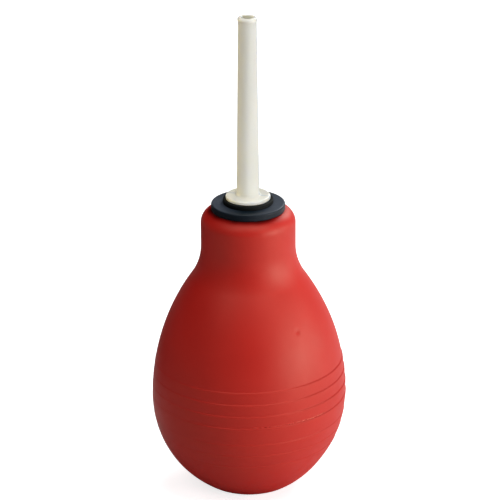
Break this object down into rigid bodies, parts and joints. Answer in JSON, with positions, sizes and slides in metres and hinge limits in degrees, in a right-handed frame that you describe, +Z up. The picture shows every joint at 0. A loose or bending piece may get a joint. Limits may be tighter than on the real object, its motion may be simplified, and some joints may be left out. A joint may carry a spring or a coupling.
{
  "type": "dust blower bulb",
  "caption": "Hand-squeezed rubber blower bulb with a flat foot, grip rings, a neck collar and a long screw-in nozzle for blowing dust off small work.",
  "frame": {"origin": "middle of the flat foot, in the plane it stands on", "axes": "+Z up the bulb's axis towards the nozzle's tip; X and Y are free, because the outside is round"},
  "size_m": [0.072, 0.072, 0.1806],
  "materials": {
    "bulb_rubber": "matte red rubber with a faint satin sheen",
    "collar_plastic": "dark navy moulded plastic, satin",
    "washer_rubber": "black rubber, matte",
    "nozzle_plastic": "ivory moulded plastic, soft gloss",
    "valve_plastic": "off-white moulded plastic",
    "valve_steel": "polished stainless steel",
    "filter_foam": "dark grey open-cell foam"
  },
  "bodies": {
    "bulb": {"bulb": "bulb_rubber", "intake_valve_body": "collar_plastic", "intake_valve_crown": "valve_plastic", "intake_filter": "filter_foam", "intake_grille": "collar_plastic"},
    "neck_unit": {"neck_collar": "collar_plastic", "outlet_valve_seat": "valve_plastic", "outlet_valve_spring": "valve_steel"},
    "washer": {"nozzle_washer": "washer_rubber"},
    "nozzle": {"nozzle": "nozzle_plastic"},
    "outlet_ball": {"outlet_valve_ball": "valve_steel"},
    "intake_disc": {"intake_valve_disc": "washer_rubber"}
  },
  "joints": [
    {"name": "bulb_squeeze", "type": "slide", "parent": "bulb", "child": "neck_unit", "axis": [0, 0, -1], "range_m": [0, 0.03], "stiffness_N_per_m": 700, "springref_m": -0.001, "deforming": ["bulb"]},
    {"name": "nozzle_rise", "type": "slide", "parent": "neck_unit", "child": "washer", "axis": [0, 0, 1], "range_m": [0, 0.01]},
    {"name": "nozzle_unscrew", "type": "hinge", "parent": "washer", "child": "nozzle", "pos_m": [0, 0, 0.1105], "axis": [0, 0, 1], "range_deg": [0, 1440]},
    {"name": "outlet_valve_lift", "type": "slide", "parent": "neck_unit", "child": "outlet_ball", "axis": [0, 0, 1], "range_m": [0, 0.0015], "stiffness_N_per_m": 30, "springref_m": -0.0005, "deforming": ["outlet_valve_spring"]},
    {"name": "intake_valve_lift", "type": "slide", "parent": "bulb", "child": "intake_disc", "axis": [0, 0, 1], "range_m": [0, 0.0012]}
  ],
  "couplings": [
    {"joint": "nozzle_unscrew", "follows": "nozzle_rise", "rad_per_m": 2513.3}
  ]
}
